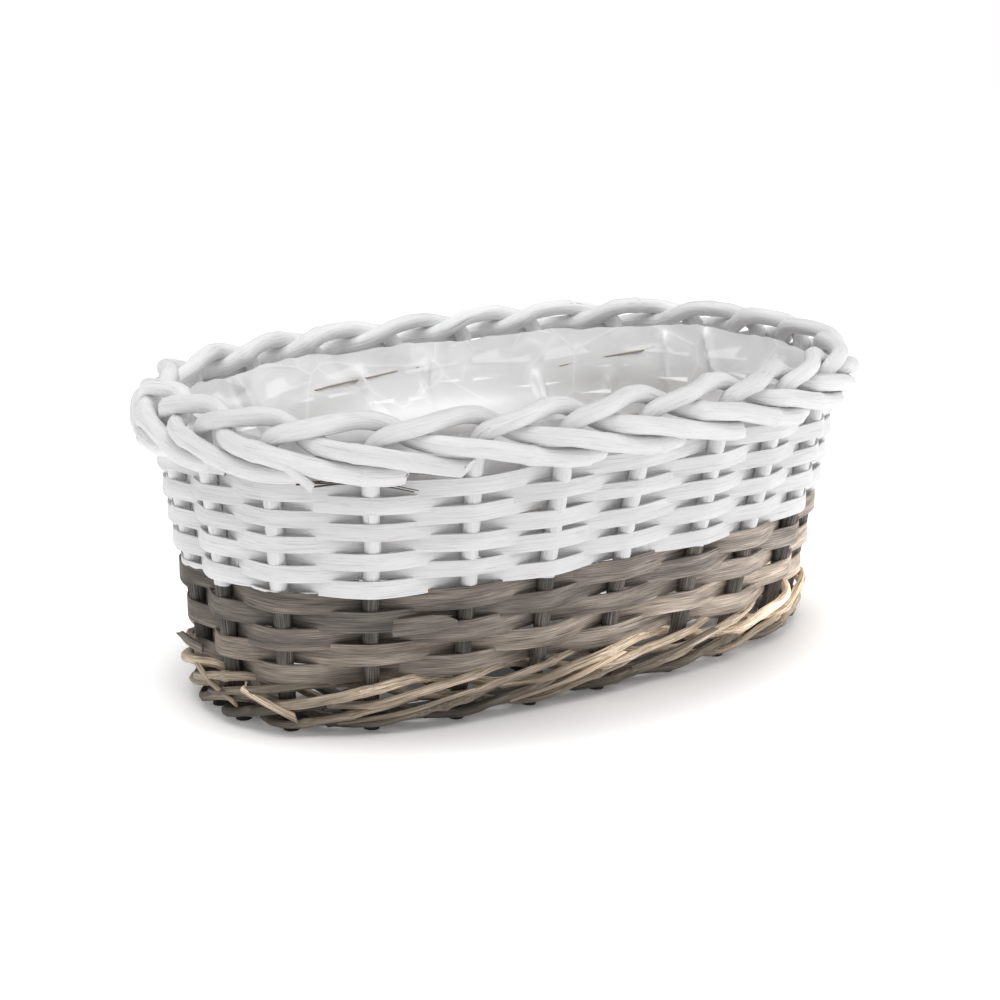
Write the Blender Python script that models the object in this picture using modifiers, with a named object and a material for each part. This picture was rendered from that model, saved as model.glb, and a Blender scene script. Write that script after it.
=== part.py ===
"""Oval wicker planter. Round stakes stand in an oval, split-willow strips are woven round them,
thin rods are waled round the foot, and the stakes' own ends are rolled down into the border.
A woven base lies between the feet, and a film liner is stitched inside. Metres, +Z up."""

import math

import bmesh
import bpy
import numpy as np
from mathutils import Vector

# Oval of the stakes' centres. The long sides lean out more than the ends.
base_length = 0.3334
base_width = 0.1508
oval_power = 2.55
end_slope_share = 0.119
side_slope_share = 0.244
foot_inset = 0.0030
clearance = 0.0004

# Stakes. The gaps are one long half of the oval, and the other half is the same turned round.
# They are spaced out along the oval at a share of the rows' height.
stake_diameter = 0.0080
foot_straight = 0.0030
foot_stub = 0.0077
spacing_height_share = 0.815
first_stake_share = -0.029
gap_shares = (0.071, 0.080, 0.097, 0.101, 0.094, 0.094, 0.105, 0.086, 0.092, 0.090, 0.090)

# Rolled border: places along the wall in gaps, across it in rod passes, down it in border drops
border_path_shares = (
    (0.00, 0.00, 0.46),
    (0.06, 0.08, 0.22),
    (0.22, 0.22, 0.04),
    (0.45, 0.12, 0.00),
    (0.68, -0.42, 0.00),
    (0.90, -0.95, 0.00),
    (1.15, -1.02, 0.07),
    (1.40, -0.70, 0.28),
    (1.60, 0.00, 0.46),
    (1.80, 0.76, 0.55),
    (2.00, 1.03, 0.62),
    (2.60, 1.03, 0.88),
    (3.05, 1.03, 1.00),
)
border_drop_share = 2.78

# Woven rows of split strips
natural_row_count = 5
painted_row_count = 8
natural_row_pitch = 0.00925
painted_row_pitch = 0.00696
crest_widening = 0.0018
crossing_gap = 0.0009
strip_thickness = 0.0018
strip_lift = 0.0008

# Waled foot
wale_round_count = 2
wale_rods_in_round = 3
wale_seam_stake = 16
wale_rod_diameter = 0.0047
wale_lift = 0.0015

# Woven base
base_round_count = 2
base_round_diameter = 0.0050
base_stick_count = 6
base_stick_diameter = 0.0060
base_sticks_share = 0.967
base_strip_count = 6
base_strip_gap = 0.0045
base_strip_thickness = 0.0016
base_strips_share = 0.960

# Film liner, and the twine that stitches it to the wall
film_wall = 0.0006
film_band_count = 5
liner_corner_radius = 0.0050
liner_top_drop = 0.0190
twine_diameter = 0.0012
stitch_drop = 0.0040
stitch_fall = 0.0080
stitch_places = ((2.5, 4.0), (5.5, 7.5), (13.5, 15.0), (16.5, 18.5))

# Main folds of the film: place, level, half width in gaps, half height and depth
film_fold_depth = 0.0170
film_fold_shares = (
    (16.6, 0.82, 1.45, 0.17, 1.00),
    (14.6, 0.57, 0.80, 0.21, 0.35),
    (19.6, 0.68, 0.75, 0.20, 0.47),
    (12.2, 0.64, 0.87, 0.20, 0.44),
    (4.0, 0.57, 1.42, 0.21, 0.41),
    (8.2, 0.64, 1.19, 0.19, 0.35),
    (0.9, 0.60, 0.87, 0.21, 0.35),
    (10.4, 0.57, 0.80, 0.21, 0.41),
)

stake_count = 2 * len(gap_shares)
stake_radius = stake_diameter / 2
rod_pass = stake_diameter + clearance
wale_radius = wale_rod_diameter / 2
wale_step = wale_rod_diameter + 2 * clearance
round_radius = base_round_diameter / 2
stick_radius = base_stick_diameter / 2

# Heights, stacked from the floor up
round_height = clearance + round_radius
stick_height = round_height + round_radius + clearance + stick_radius
weave_rise = stick_radius + base_strip_thickness / 2 + clearance
base_top = stick_height + weave_rise + base_strip_thickness / 2
wale_start = foot_stub + wale_radius
foot_height = wale_start + (2 * wale_round_count - 1.5) * wale_step + wale_radius
rows_start = foot_height + crest_widening / 2 + clearance
natural_top = rows_start + natural_row_count * natural_row_pitch
rows_top = natural_top + painted_row_count * painted_row_pitch
border_end = rows_top + crest_widening / 2 + clearance + stake_radius
border_drop = border_drop_share * rod_pass
border_ridge = border_end + border_drop
film_floor = base_top + clearance
film_top = border_ridge - liner_top_drop
stitch_top = film_top - stitch_drop
fold_top = stitch_top - stitch_fall - twine_diameter

# Offsets from the stakes' centres, across the wall
strip_offset = stake_radius + strip_thickness / 2 + strip_lift
wale_offset = stake_radius + wale_radius + wale_lift
round_offset = stake_radius + round_radius + clearance
round_spacing = base_round_diameter + clearance
liner_offset = strip_offset + strip_thickness / 2 + clearance
liner_foot_offset = wale_offset + wale_radius + clearance

white_paint = ("white_paint", (0.86, 0.87, 0.88), 0.55)
grey_willow = ("grey_willow", (0.30, 0.25, 0.21), 0.75)
buff_willow = ("buff_willow", (0.42, 0.33, 0.22), 0.70)
dark_willow = ("dark_willow", (0.09, 0.08, 0.07), 0.80)
clear_film = ("clear_film", (0.88, 0.89, 0.90), 0.15)
jute_twine = ("jute_twine", (0.50, 0.40, 0.28), 0.85)


def clear_scene():
    for obj in list(bpy.data.objects):
        bpy.data.objects.remove(obj, do_unlink=True)


def new_collection(name):
    made = bpy.data.collections.new(name)
    bpy.context.scene.collection.children.link(made)
    return made


def material_for(look):
    name, colour, roughness = look
    made = bpy.data.materials.get(name)
    if made is None:
        made = bpy.data.materials.new(name)
        made.use_nodes = True
        shader = made.node_tree.nodes["Principled BSDF"]
        shader.inputs["Base Color"].default_value = (*colour, 1.0)
        shader.inputs["Roughness"].default_value = roughness
        shader.inputs["Metallic"].default_value = 0.0
    return made


def oval_sides(height):
    """The half length and half width of the oval through the stakes' centres at a height."""
    tuck = foot_inset * max(0.0, 1.0 - height / foot_height) ** 2
    half_length = base_length / 2 + end_slope_share * height - tuck
    half_width = base_width / 2 + side_slope_share * height - tuck
    return half_length, half_width


def oval_point(angle, sides):
    half_length, half_width = sides
    along = math.copysign(abs(math.cos(angle)) ** (2 / oval_power), math.cos(angle))
    across = math.copysign(abs(math.sin(angle)) ** (2 / oval_power), math.sin(angle))
    return Vector((along * half_length, across * half_width, 0.0))


def oval_normal(point, sides):
    half_length, half_width = sides
    steep_x = math.copysign(abs(point.x / half_length) ** (oval_power - 1), point.x) / half_length
    steep_y = math.copysign(abs(point.y / half_width) ** (oval_power - 1), point.y) / half_width
    return Vector((steep_x, steep_y, 0.0)).normalized()


def arc_table(steps=3600):
    """Angles round the oval from its left end, and the share of its length up to each."""
    sides = oval_sides(rows_top * spacing_height_share)
    angles = np.linspace(math.pi, 3 * math.pi, steps + 1)
    points = [oval_point(angle, sides) for angle in angles]
    lengths = [(b - a).length for a, b in zip(points, points[1:])]
    shares = np.concatenate([[0.0], np.cumsum(lengths)]) / sum(lengths)
    return angles, shares


arc_angles, arc_shares = arc_table()
half_gap_count = len(gap_shares)
gap_ends = np.concatenate([[0.0], np.cumsum(gap_shares)]) / sum(gap_shares)


def wall_angle(place):
    """The oval's angle at a place counted in gaps: stake 0 is place 0, and it rises to the right."""
    half_turns, rest = divmod(place % stake_count, half_gap_count)
    share = np.interp(rest, np.arange(half_gap_count + 1), gap_ends)
    turn = (half_turns + share + first_stake_share) / 2
    return np.interp(turn % 1.0, arc_shares, arc_angles)


def wall_point(place, offset, height):
    """A point at a place round the wall, offset outwards from the stakes' centres."""
    sides = oval_sides(height)
    point = oval_point(wall_angle(place), sides)
    point += oval_normal(point, sides) * offset
    point.z = height
    return point


def wall_lean(place, height):
    """The angle by which the wall leans out there, between the ends' slope and the long sides'."""
    sides = oval_sides(height)
    point = oval_point(wall_angle(place), sides)
    end_lean = end_slope_share * point.x / sides[0]
    side_lean = side_slope_share * point.y / sides[1]
    return math.atan(oval_normal(point, sides).dot(Vector((end_lean, side_lean, 0.0))))


def new_curve(name, points, look, closed=False, widths=None, tilts=None):
    curve = bpy.data.curves.new(name, "CURVE")
    curve.dimensions = "3D"
    curve.use_fill_caps = not closed
    spline = curve.splines.new("POLY")
    spline.points.add(len(points) - 1)
    spline.use_cyclic_u = closed
    for index, point in enumerate(points):
        spline.points[index].co = (*point, 1.0)
        if widths:
            spline.points[index].radius = widths[index]
        if tilts:
            spline.points[index].tilt = tilts[index]
    curve.materials.append(material_for(look))
    obj = bpy.data.objects.new(name, curve)
    parts.objects.link(obj)
    return obj


def new_rod(name, points, diameter, look, closed=False):
    obj = new_curve(name, points, look, closed)
    obj.data.bevel_depth = diameter / 2
    obj.data.bevel_resolution = 1
    return obj


def new_profile(name, thickness, width):
    """The flat section of a strip: a closed outline that is drawn along the strip's own curve."""
    curve = bpy.data.curves.new(name, "CURVE")
    curve.dimensions = "2D"
    spline = curve.splines.new("POLY")
    spline.points.add(3)
    spline.use_cyclic_u = True
    corners = ((-1, -1), (-1, 1), (1, 1), (1, -1))
    for point, (side, end) in zip(spline.points, corners):
        point.co = (side * thickness / 2, end * width / 2, 0.0, 1.0)
    obj = bpy.data.objects.new(name, curve)
    obj.hide_render = True
    obj.display_type = "WIRE"
    guides.objects.link(obj)
    return obj


def new_strip(name, points, profile, look, closed=False, widths=None, tilts=None):
    obj = new_curve(name, points, look, closed, widths, tilts)
    obj.data.twist_mode = "Z_UP"
    obj.data.bevel_mode = "OBJECT"
    obj.data.bevel_object = profile
    return obj


def make_stake(number):
    """One round rod: its cut foot on the floor, the upright, and its own end rolled into the border."""
    ankle = wall_point(number, 0.0, foot_straight)
    points = [Vector((ankle.x, ankle.y, 0.0)), ankle]
    points.append(wall_point(number, 0.0, foot_height / 2))
    points.append(wall_point(number, 0.0, foot_height))
    for along, across, down in border_path_shares:
        height = border_ridge - down * border_drop
        points.append(wall_point(number + along, across * rod_pass, height))
    new_rod(f"stake_{number + 1:02d}", points, stake_diameter, white_paint)


def make_row(name, row, height, pitch, look):
    """One strip round the wall, outside every other stake and inside the ones between."""
    crest_width = pitch + crest_widening
    profile = new_profile(f"{name}_profile", strip_thickness, crest_width)
    crossing_share = (pitch - crossing_gap) / crest_width
    points = []
    widths = []
    tilts = []
    for stake in range(stake_count):
        side = 1 if (stake + row) % 2 == 0 else -1
        points.append(wall_point(stake, side * strip_offset, height))
        points.append(wall_point(stake + 1 / 2, 0.0, height))
        widths += [1.0, crossing_share]
        tilts += [wall_lean(stake, height), wall_lean(stake + 1 / 2, height)]
    new_strip(name, points, profile, look, closed=True, widths=widths, tilts=tilts)


def make_rows():
    for row in range(natural_row_count):
        height = rows_start + (row + 1 / 2) * natural_row_pitch
        make_row(f"natural_row_{row + 1}", row, height, natural_row_pitch, grey_willow)
    for row in range(painted_row_count):
        height = natural_top + (row + 1 / 2) * painted_row_pitch
        number = natural_row_count + row
        make_row(f"painted_row_{row + 1}", number, height, painted_row_pitch, white_paint)


def make_wale_rod(wale_round, rod):
    """A foot rod: in front of two stakes while it rises, then behind the third while it drops.
    It starts behind a stake, and ends between two before it comes round to its start."""
    middle = wale_start + 2 * wale_round * wale_step
    side_shares = (-1, 0, 1, 1, 1, 0)
    rise_shares = (0, -1 / 2, -1 / 2, 0, 1 / 2, 1 / 2)
    start = wale_seam_stake + rod
    points = []
    for half in range(2 * (stake_count - 1)):
        side = side_shares[half % len(side_shares)]
        rise = rise_shares[half % len(rise_shares)]
        height = middle + rise * wale_step
        points.append(wall_point(start + half / 2, side * wale_offset, height))
    number = wale_round * wale_rods_in_round + rod + 1
    new_rod(f"wale_rod_{number}", points, wale_rod_diameter, buff_willow)


def make_base_round(number):
    offset = -(round_offset + number * round_spacing)
    points = []
    for half in range(2 * stake_count):
        points.append(wall_point(half / 2, offset, round_height))
    new_rod(f"base_round_{number + 1}", points, base_round_diameter, dark_willow, closed=True)


def base_reach(level, half_side, other_half_side):
    """Half the chord of the oval at a distance from its middle line."""
    share = 1.0 - (abs(level) / other_half_side) ** oval_power
    return half_side * share ** (1 / oval_power)


def make_base_stick(number, round_sides):
    half_length, half_width = round_sides
    pitch = 2 * half_length * base_sticks_share / base_stick_count
    x = (number - (base_stick_count - 1) / 2) * pitch
    reach = base_reach(x, half_width, half_length)
    points = [Vector((x, -reach, stick_height)), Vector((x, reach, stick_height))]
    new_rod(f"base_stick_{number + 1}", points, base_stick_diameter, dark_willow)
    return x


def make_base_strip(number, stick_places, inner_sides, pitch, profile):
    """A wide strip along the base, over one stick and under the next."""
    half_length, half_width = inner_sides
    y = (number - (base_strip_count - 1) / 2) * pitch
    reach = base_reach(abs(y) + (pitch - base_strip_gap) / 2, half_length, half_width)
    points = []
    for stick, x in enumerate(stick_places):
        if abs(x) < reach - base_stick_diameter:
            side = 1 if (stick + number) % 2 == 0 else -1
            points.append(Vector((x, y, stick_height + side * weave_rise)))
    first = Vector((-reach, y, points[0].z))
    last = Vector((reach, y, points[-1].z))
    points = [first, *points, last]
    new_strip(f"base_strip_{number + 1}", points, profile, grey_willow)


def make_base():
    for number in range(base_round_count):
        make_base_round(number)
    inside = round_offset + (base_round_count - 1) * round_spacing
    round_sides = [side - inside for side in oval_sides(round_height)]
    inner_sides = [side - round_radius - 2 * clearance for side in round_sides]
    stick_places = [make_base_stick(number, round_sides) for number in range(base_stick_count)]
    pitch = 2 * inner_sides[1] * base_strips_share / base_strip_count
    profile = new_profile("base_strip_profile", pitch - base_strip_gap, base_strip_thickness)
    for number in range(base_strip_count):
        make_base_strip(number, stick_places, inner_sides, pitch, profile)


def film_fold(place, height):
    """How far a fold stands in from the wall. There is none from the stitches up."""
    share = (height - film_floor) / (fold_top - film_floor)
    if share >= 1.0:
        return 0.0
    depth = 0.0
    for middle, level, half_width, half_height, depth_share in film_fold_shares:
        along = (place - middle + half_gap_count) % stake_count - half_gap_count
        spread = (along / half_width) ** 2 + ((share - level) / half_height) ** 2
        depth += depth_share * film_fold_depth * math.exp(-spread)
    return depth


def make_liner():
    """An open bag of film: a flat floor, a narrow corner past the wale, and a folded wall."""
    wall_start = rows_start + natural_row_pitch
    levels = [
        (film_floor, liner_foot_offset + liner_corner_radius),
        (film_floor + liner_corner_radius, liner_foot_offset),
        (foot_height + clearance, liner_foot_offset),
    ]
    for band in range(film_band_count):
        levels.append((wall_start + (fold_top - wall_start) * band / film_band_count, liner_offset))
    levels += [(fold_top, liner_offset), (film_top, liner_offset)]
    shell = bmesh.new()
    rings = []
    for height, offset in levels:
        ring = []
        for half in range(2 * stake_count):
            inward = offset + film_fold(half / 2, height)
            ring.append(shell.verts.new(wall_point(half / 2, -inward, height)))
        rings.append(ring)
    shell.faces.new(rings[0])
    for lower, upper in zip(rings, rings[1:]):
        for index in range(len(lower)):
            following = (index + 1) % len(lower)
            shell.faces.new((lower[index], lower[following], upper[following], upper[index]))
    bmesh.ops.recalc_face_normals(shell, faces=shell.faces)
    mesh = bpy.data.meshes.new("liner")
    shell.to_mesh(mesh)
    shell.free()
    mesh.materials.append(material_for(clear_film))
    mesh.shade_smooth()
    obj = bpy.data.objects.new("liner", mesh)
    parts.objects.link(obj)
    wall = obj.modifiers.new("film_wall", "SOLIDIFY")
    wall.thickness = film_wall
    wall.offset = -1.0
    return obj


def make_stitch(number):
    """One long stitch that lies on the film, falling a little to its right."""
    first, last = stitch_places[number]
    offset = liner_offset + film_wall + clearance + twine_diameter / 2
    steps = round((last - first) * 2)
    points = []
    for step in range(steps + 1):
        height = stitch_top - stitch_fall * step / steps
        points.append(wall_point(first + step / 2, -offset, height))
    new_rod(f"liner_stitch_{number + 1}", points, twine_diameter, jute_twine)


clear_scene()
parts = new_collection("wicker_planter")
guides = new_collection("guides")
for stake_number in range(stake_count):
    make_stake(stake_number)
make_rows()
for round_number in range(wale_round_count):
    for rod_number in range(wale_rods_in_round):
        make_wale_rod(round_number, rod_number)
make_base()
make_liner()
for stitch_number in range(len(stitch_places)):
    make_stitch(stitch_number)
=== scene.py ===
import math
import random

import bmesh
import bpy
import numpy as np
from mathutils import Matrix, Vector, noise


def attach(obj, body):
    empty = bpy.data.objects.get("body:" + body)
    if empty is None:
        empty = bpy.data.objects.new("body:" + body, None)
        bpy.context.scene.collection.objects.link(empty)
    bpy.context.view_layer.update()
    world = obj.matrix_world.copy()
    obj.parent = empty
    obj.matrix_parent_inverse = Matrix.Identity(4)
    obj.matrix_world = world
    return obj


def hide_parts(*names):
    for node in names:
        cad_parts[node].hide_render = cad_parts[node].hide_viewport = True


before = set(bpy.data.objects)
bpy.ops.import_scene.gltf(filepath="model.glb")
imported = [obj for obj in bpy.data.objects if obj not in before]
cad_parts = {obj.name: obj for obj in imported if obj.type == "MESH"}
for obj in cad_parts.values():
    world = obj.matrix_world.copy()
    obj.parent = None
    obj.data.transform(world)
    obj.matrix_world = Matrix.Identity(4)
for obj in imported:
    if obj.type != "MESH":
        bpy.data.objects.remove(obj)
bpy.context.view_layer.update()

print("frame loaded:", len(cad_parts), "nodes")

# the oval wall that every piece is set out on: places are counted in gaps between stakes, from the left end
wall = {
    "length": 0.3334, "width": 0.1508, "power": 2.55,
    "slopes": (0.119, 0.244),  # of the ends, of the long sides
    "footInset": 0.0030, "footHeight": 0.02615, "spacingHeight": 0.10544, "firstShare": -0.029,
    "gaps": (0.071, 0.080, 0.097, 0.101, 0.094, 0.094, 0.105, 0.086, 0.092, 0.090, 0.090),
    "paintLine": 0.0737, "paintEdge": (-0.0002, 0.0003),
}
stakeCount = 2 * len(wall["gaps"])


def ovalSides(height):
    tuck = wall["footInset"] * max(0.0, 1.0 - height / wall["footHeight"]) ** 2
    sizes = zip((wall["length"], wall["width"]), wall["slopes"])
    return [size / 2 + slope * height - tuck for size, slope in sizes]


def ovalPoint(angle, sides):
    share = 2 / wall["power"]
    along = math.copysign(abs(math.cos(angle)) ** share, math.cos(angle))
    across = math.copysign(abs(math.sin(angle)) ** share, math.sin(angle))
    return Vector((along * sides[0], across * sides[1], 0.0))


def ovalNormal(point, sides):
    steep = wall["power"] - 1
    x = math.copysign(abs(point.x / sides[0]) ** steep, point.x) / sides[0]
    y = math.copysign(abs(point.y / sides[1]) ** steep, point.y) / sides[1]
    return Vector((x, y, 0.0)).normalized()


def arcTable(steps=3600):
    sides = ovalSides(wall["spacingHeight"])
    angles = np.linspace(math.pi, 3 * math.pi, steps + 1)
    points = [ovalPoint(angle, sides) for angle in angles]
    lengths = [(b - a).length for a, b in zip(points, points[1:])]
    return angles, np.concatenate([[0.0], np.cumsum(lengths)]) / sum(lengths)


arcAngles, arcShares = arcTable()
gapEnds = np.concatenate([[0.0], np.cumsum(wall["gaps"])]) / sum(wall["gaps"])


def wallAngle(place):
    halfTurns, rest = divmod(place % stakeCount, len(wall["gaps"]))
    share = np.interp(rest, np.arange(len(gapEnds)), gapEnds)
    return np.interp(((halfTurns + share + wall["firstShare"]) / 2) % 1.0, arcShares, arcAngles)


def wallPlace(place, offset, height):  # the point, and the outward direction there
    sides = ovalSides(height)
    point = ovalPoint(wallAngle(place), sides)
    outward = ovalNormal(point, sides)
    point += outward * offset
    point.z = height
    return point, outward


def wallPath(places):  # the points at these places, heights and offsets
    return [wallPlace(place, offset, height)[0] for place, height, offset in places]


def wallSlope(place, height):  # how far the wall leans out there for each unit of height
    sides = ovalSides(height)
    point = ovalPoint(wallAngle(place), sides)
    lean = Vector((wall["slopes"][0] * point.x / sides[0], wall["slopes"][1] * point.y / sides[1], 0.0))
    return ovalNormal(point, sides).dot(lean)


def wobble(place, seed, pace=1.0):  # a slow hand-made unevenness, from -1 to 1
    return noise.noise(Vector((place * pace, seed * 7.31, 3.7)))


# shader helpers
def newMaterial(name):
    material = bpy.data.materials.new(name)
    material.use_nodes = True
    return material, material.node_tree, material.node_tree.nodes["Principled BSDF"]


def addNode(tree, kind, **settings):
    node = tree.nodes.new(kind)
    for key, value in settings.items():
        if hasattr(node, key):
            setattr(node, key, value)
        else:
            node.inputs[key.replace("_", " ")].default_value = value
    return node


def join(tree, source, sourceSocket, target, targetSocket):
    tree.links.new(source.outputs[sourceSocket], target.inputs[targetSocket])


def ramp(tree, source, socket, stops):
    node = tree.nodes.new("ShaderNodeValToRGB")
    while len(node.color_ramp.elements) < len(stops):
        node.color_ramp.elements.new(0.5)
    for element, (position, colour) in zip(node.color_ramp.elements, stops):
        element.position = position
        element.color = (*colour, 1.0) if len(colour) == 3 else (colour[0],) * 3 + (1.0,)
    join(tree, source, socket, node, "Fac")
    return node


def maths(tree, operation, a, b):  # a and b are numbers or (node, socket)
    node = addNode(tree, "ShaderNodeMath", operation=operation)
    for index, value in enumerate((a, b)):
        if isinstance(value, tuple):
            join(tree, *value, node, index)
        else:
            node.inputs[index].default_value = value
    return node


# sockets of a mix node in colour mode: the factor and two colours go in, and the mixed colour comes out
mixInputs, mixed = (0, 6, 7), 2


def mixColours(tree, factor, a, b, blend="MIX"):  # each is a value or (node, socket)
    node = addNode(tree, "ShaderNodeMix", data_type="RGBA", blend_type=blend)
    for index, value in zip(mixInputs, (factor, a, b)):
        if isinstance(value, tuple) and hasattr(value[0], "outputs"):
            join(tree, *value, node, index)
        else:
            node.inputs[index].default_value = (*value, 1.0) if isinstance(value, tuple) else value
    return node


def multiply(tree, a, b):
    return mixColours(tree, 1.0, a, b, "MULTIPLY")


def mapRange(tree, source, socket, reach, results=(0.0, 1.0), interpolation="LINEAR"):
    node = addNode(tree, "ShaderNodeMapRange", interpolation_type=interpolation)
    for label, value in zip(("From Min", "From Max", "To Min", "To Max"), (*reach, *results)):
        node.inputs[label].default_value = value
    join(tree, source, socket, node, "Value")
    return node


def ownPlace(tree):  # a point's place on the object, and the same split into its axes
    coordinates, split = addNode(tree, "ShaderNodeTexCoord"), addNode(tree, "ShaderNodeSeparateXYZ")
    join(tree, coordinates, "Object", split, "Vector")
    return coordinates, split


def attributeOf(tree, name):
    return addNode(tree, "ShaderNodeAttribute", attribute_name=name)


def newGroup(name, inputs, outputs):  # every socket is a plain number
    tree = bpy.data.node_groups.new(name, "ShaderNodeTree")
    for direction, labels in (("INPUT", inputs), ("OUTPUT", outputs)):
        for label in labels:
            tree.interface.new_socket(name=label, in_out=direction, socket_type="NodeSocketFloat")
    return tree, tree.nodes.new("NodeGroupInput"), tree.nodes.new("NodeGroupOutput")


def useGroup(tree, group, **values):
    return addNode(tree, "ShaderNodeGroup", node_tree=group, **values)


# willow grain: long fibres, slow blotches and short dark splits, along a rod's or strip's own length
def makeGrainGroup():
    tree, start, end = newGroup("willowGrain", ("Coarseness",), ("Fibres", "Blotches", "Splits"))
    scale = addNode(tree, "ShaderNodeVectorMath", operation="SCALE")
    join(tree, attributeOf(tree, "grain"), "Vector", scale, 0)
    join(tree, start, "Coarseness", scale, "Scale")
    for label, stretch, detail, roughness in (
        ("Fibres", (60.0, 2600.0, 2600.0), 3.0, 0.6),
        ("Blotches", (22.0, 160.0, 160.0), 2.0, 0.5),
        ("Splits", (34.0, 900.0, 900.0), 2.0, 0.7),
    ):
        mapping = addNode(tree, "ShaderNodeMapping", Scale=stretch)
        join(tree, scale, "Vector", mapping, "Vector")
        texture = addNode(tree, "ShaderNodeTexNoise", Scale=1.0, Detail=detail, Roughness=roughness)
        join(tree, mapping, "Vector", texture, "Vector")
        join(tree, texture, "Fac", end, label)
    return tree


# where the dipped paint reaches down to: a ragged level line round the whole planter
def makePaintGroup():
    tree, start, end = newGroup("paintLine", ("Level", "Ragged", "Pace"), ("Cover",))
    coordinates, split = ownPlace(tree)
    texture = addNode(tree, "ShaderNodeTexNoise", Detail=2.0, Roughness=0.6)
    join(tree, coordinates, "Object", texture, "Vector")
    join(tree, start, "Pace", texture, "Scale")
    shift = maths(tree, "SUBTRACT", (texture, "Fac"), 0.5)
    scaled = maths(tree, "MULTIPLY", (shift, 0), 2.0)
    ragged = maths(tree, "MULTIPLY", (scaled, 0), (start, "Ragged"))
    height = maths(tree, "ADD", (split, "Z"), (ragged, 0))
    over = maths(tree, "SUBTRACT", (height, 0), (start, "Level"))
    edge = mapRange(tree, over, 0, wall["paintEdge"], interpolation="SMOOTHSTEP")
    join(tree, edge, "Result", end, "Cover")
    return tree


grainGroup = makeGrainGroup()
paintGroup = makePaintGroup()

finishes = {
    "paint": ((0.70, 0.70, 0.705), (0.80, 0.80, 0.805)),
    "paintThin": (0.52, 0.49, 0.46),
    "willowDark": (0.075, 0.066, 0.058),
    "willow": (0.250, 0.218, 0.190),
    "willowPale": (0.46, 0.42, 0.375),
    "bark": ((0.018, 0.017, 0.016), (0.085, 0.077, 0.070), (0.26, 0.245, 0.23)),
    "straw": ((0.070, 0.060, 0.050), (0.36, 0.310, 0.252), (0.69, 0.635, 0.55)),
    "foot": ((0.012, 0.013, 0.014), (0.045, 0.045, 0.045), (0.13, 0.13, 0.13)),
    "base": ((0.075, 0.066, 0.058), (0.10, 0.085, 0.072), (0.19, 0.165, 0.14)),
    "twine": ((0.36, 0.31, 0.26), (0.62, 0.56, 0.48)),
    # shades of a piece's rods, from the darkest to the palest
    "tones": ((0.66, 0.66, 0.67), (1.30, 1.26, 1.20)),
    "strawTones": ((0.22, 0.215, 0.21), (1.50, 1.40, 1.28)),
    # slow changes of tone: places in metres along an axis, and the tone there; the two side ramps are painted
    # light and shade
    "driftReach": 0.2, "driftMost": 3.0,
    # painted light and shade: the paint darker towards the near side and lighter towards the far side
    "thicknessAndSideShade": ((-0.12, 0.89), (0.0, 1.0), (0.12, 1.16)),
    # painted light and shade: the willow darker towards the left end and paler towards the right end
    "paintedSideLight": ((-0.17, 0.66), (-0.03, 1.00), (0.15, 2.25)),
    "darkerLow": ((0.003, 0.38), (0.011, 0.95), (0.024, 1.40)),  # darker towards the floor and paler at the top of the waled foot
}


def drift(tree, axis, stops):  # a ramp holds no tone above 1, so it holds shares of the most
    reach, most = finishes["driftReach"], finishes["driftMost"]
    split = ownPlace(tree)[1]
    along = mapRange(tree, split, axis, (-reach, reach))
    shares = [(0.5 + place / (2 * reach), (tone / most,)) for place, tone in stops]
    shares = ramp(tree, along, "Result", shares)
    return multiply(tree, (shares, "Color"), (most, most, most))


def paintColour(tree, grain):
    coat = ramp(tree, grain, "Blotches", [(0.32, finishes["paint"][0]), (0.60, finishes["paint"][1])])
    streaks = ramp(tree, grain, "Fibres", [(0.30, (0.80,)), (0.47, (1.0,))])
    streaked = multiply(tree, (coat, "Color"), (streaks, "Color"))
    # painted light and shade laid over the paint, from the side ramp along Y
    sideShadedCoat = multiply(tree, (streaked, mixed), (drift(tree, "Y", finishes["thicknessAndSideShade"]), mixed))
    worn = ramp(tree, grain, "Splits", [(0.26, (1.0,)), (0.34, (0.0,))])  # thin paint in the deepest splits
    return mixColours(tree, (worn, "Color"), (sideShadedCoat, mixed), finishes["paintThin"])


def willowColour(tree, grain, dark, middle, pale, tones=finishes["tones"]):
    streaks = ramp(tree, grain, "Fibres", [(0.26, dark), (0.50, middle), (0.76, pale)])
    blotches = ramp(tree, grain, "Blotches", [(0.30, (0.46, 0.45, 0.44)), (0.70, (1.34, 1.32, 1.30))])
    # the willow's own blotches, times painted light and shade: a paler right end and a darker left end
    blotchedAndSideLit = multiply(tree, (blotches, "Color"), (drift(tree, "X", finishes["paintedSideLight"]), mixed))
    shaded = multiply(tree, (streaks, "Color"), (blotchedAndSideLit, mixed))
    splits = ramp(tree, grain, "Splits", [(0.28, (0.30,)), (0.37, (1.0,))])
    cut = multiply(tree, (shaded, mixed), (splits, "Color"))
    tone = ramp(tree, attributeOf(tree, "tone"), "Fac", [(0.0, tones[0]), (1.0, tones[1])])
    return multiply(tree, (cut, mixed), (tone, "Color"))


def grainBump(tree, shader, grain, strength, distance):
    height = maths(tree, "ADD", (grain, "Fibres"), (grain, "Splits"))
    bump = addNode(tree, "ShaderNodeBump", Strength=strength, Distance=distance)
    join(tree, height, 0, bump, "Height")
    join(tree, bump, "Normal", shader, "Normal")


def makeWhitePaint():
    material, tree, shader = newMaterial("whitePaint")
    grain = useGroup(tree, grainGroup, Coarseness=0.8)
    join(tree, paintColour(tree, grain), mixed, shader, "Base Color")
    gloss = ramp(tree, grain, "Blotches", [(0.3, (0.46,)), (0.7, (0.62,))])
    join(tree, gloss, "Color", shader, "Roughness")
    grainBump(tree, shader, grain, 0.6, 0.0005)
    return material


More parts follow.
